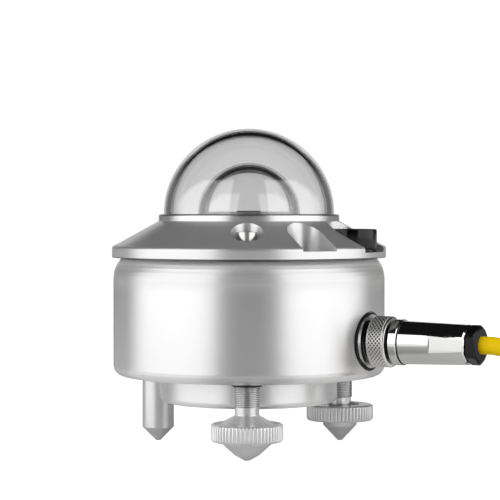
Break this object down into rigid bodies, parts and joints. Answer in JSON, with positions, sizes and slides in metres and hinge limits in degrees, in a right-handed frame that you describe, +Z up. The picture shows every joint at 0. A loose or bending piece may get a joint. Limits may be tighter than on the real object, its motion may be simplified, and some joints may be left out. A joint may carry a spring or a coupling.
{
  "type": "pyranometer",
  "caption": "Solar radiation sensor: turned metal body with double glass dome, bubble level, levelling screws and a screw-locked plug with a coiled cable.",
  "frame": {"origin": "on the dome's axis, in the plane of the three foot tips", "axes": "+Z up along the dome's axis; the front levelling screw stands at -Y, and the connector points to +X and -Y, 30 degrees from X"},
  "size_m": [0.2208, 0.1064, 0.0932],
  "materials": {
    "satin_aluminium": "turned, clear anodised, satin",
    "bright_aluminium": "fine turned, bright",
    "dome_glass": "polished optical glass",
    "level_clear": "clear",
    "level_liquid": "tinted level liquid, as a solid",
    "bubble": "air bubble, as a solid",
    "black_plastic": "glossy black",
    "white_plate": "light matt",
    "sink_aluminium": "milled",
    "thermopile_ceramic": "matt",
    "receiver_black": "deep matt black",
    "gold_contact": "gold plated",
    "board_green": "solder resist",
    "component_black": "moulded",
    "brass_standoff": "turned",
    "bushing_brass": "blackened",
    "white_plastic": "moulded",
    "insert_black": "moulded",
    "wire_red": "wire insulation",
    "nickel": "nickel plated, polished",
    "gland_black": "moulded black",
    "seal_rubber": "smooth",
    "cable_yellow": "smooth cable jacket",
    "tie_fabric": "hook and loop tape",
    "sleeve_black": "shrunk sleeve",
    "core_insulation": "wire insulation",
    "tin_ferrule": "tinned copper",
    "steel_screw": "stainless steel"
  },
  "bodies": {
    "body": {"housing": "satin_aluminium", "base_cover": "satin_aluminium", "base_seal": "seal_rubber", "base_screws": "steel_screw", "drying_cartridge": "white_plastic", "top_cover": "satin_aluminium", "cover_seal": "seal_rubber", "cover_screws": "steel_screw", "dome_ring": "bright_aluminium", "dome_ring_seal": "seal_rubber", "outer_dome_gasket": "seal_rubber", "outer_dome": "dome_glass", "inner_dome_gasket": "seal_rubber", "inner_dome": "dome_glass", "detector_plate": "white_plate", "heat_sink": "sink_aluminium", "heat_sink_screws": "steel_screw", "thermopile": "thermopile_ceramic", "sensor_disc": "receiver_black", "compensation_disc": "receiver_black", "sensor_leads": "gold_contact", "circuit_board": "board_green", "board_components": "component_black", "board_standoffs": "brass_standoff", "board_screws": "steel_screw", "level_cup": "black_plastic", "level_glass": "level_clear", "level_fluid": "level_liquid", "level_screw": "steel_screw", "fixed_foot": "satin_aluminium", "foot_bushings": "bushing_brass", "socket_shell": "nickel", "socket_seal": "seal_rubber", "socket_insert": "insert_black", "socket_pins": "gold_contact", "socket_wires": "wire_red", "plug_seal": "seal_rubber", "plug_insert": "insert_black", "plug_contacts": "gold_contact", "plug_ring": "nickel", "plug_shell": "nickel", "gland_grommet": "seal_rubber", "gland_nut": "gland_black", "cable_run": "cable_yellow", "cable_coil": "cable_yellow", "cable_tail": "cable_yellow", "coil_ties": "tie_fabric", "cable_sleeve": "sleeve_black", "cable_cores": "core_insulation", "core_ferrules": "tin_ferrule"},
    "front_foot": {"front_foot_tip": "satin_aluminium"},
    "front_screw": {"front_foot_screw": "satin_aluminium"},
    "right_foot": {"right_foot_tip": "satin_aluminium"},
    "right_screw": {"right_foot_screw": "satin_aluminium"},
    "nut": {"coupling_nut": "nickel"},
    "bubble": {"level_bubble": "bubble"}
  },
  "joints": [
    {"name": "front_foot_lift", "type": "slide", "parent": "body", "child": "front_foot", "axis": [0, 0, 1], "range_m": [-0.006, 0.0015]},
    {"name": "front_foot_turn", "type": "hinge", "parent": "front_foot", "child": "front_screw", "pos_m": [-0.00055, -0.03164, 0.0078], "axis": [0, 0, 1], "range_deg": [-4320, 1080]},
    {"name": "right_foot_lift", "type": "slide", "parent": "body", "child": "right_foot", "axis": [0, 0, 1], "range_m": [-0.006, 0.0015]},
    {"name": "right_foot_turn", "type": "hinge", "parent": "right_foot", "child": "right_screw", "pos_m": [0.02741, 0.01582, 0.0085], "axis": [0, 0, 1], "range_deg": [-4320, 1080]},
    {"name": "nut_turn", "type": "hinge", "parent": "body", "child": "nut", "pos_m": [0.03854, -0.02225, 0.0323], "axis": [0.866, -0.5, 0], "continuous": true},
    {"name": "bubble_drift", "type": "slide", "parent": "body", "child": "bubble", "axis": [0.9063, -0.4226, 0], "range_m": [-0.0015, 0.0015], "stiffness_N_per_m": 0.05}
  ],
  "couplings": [
    {"joint": "front_foot_turn", "follows": "front_foot_lift", "rad_per_m": 12566},
    {"joint": "right_foot_turn", "follows": "right_foot_lift", "rad_per_m": 12566}
  ]
}
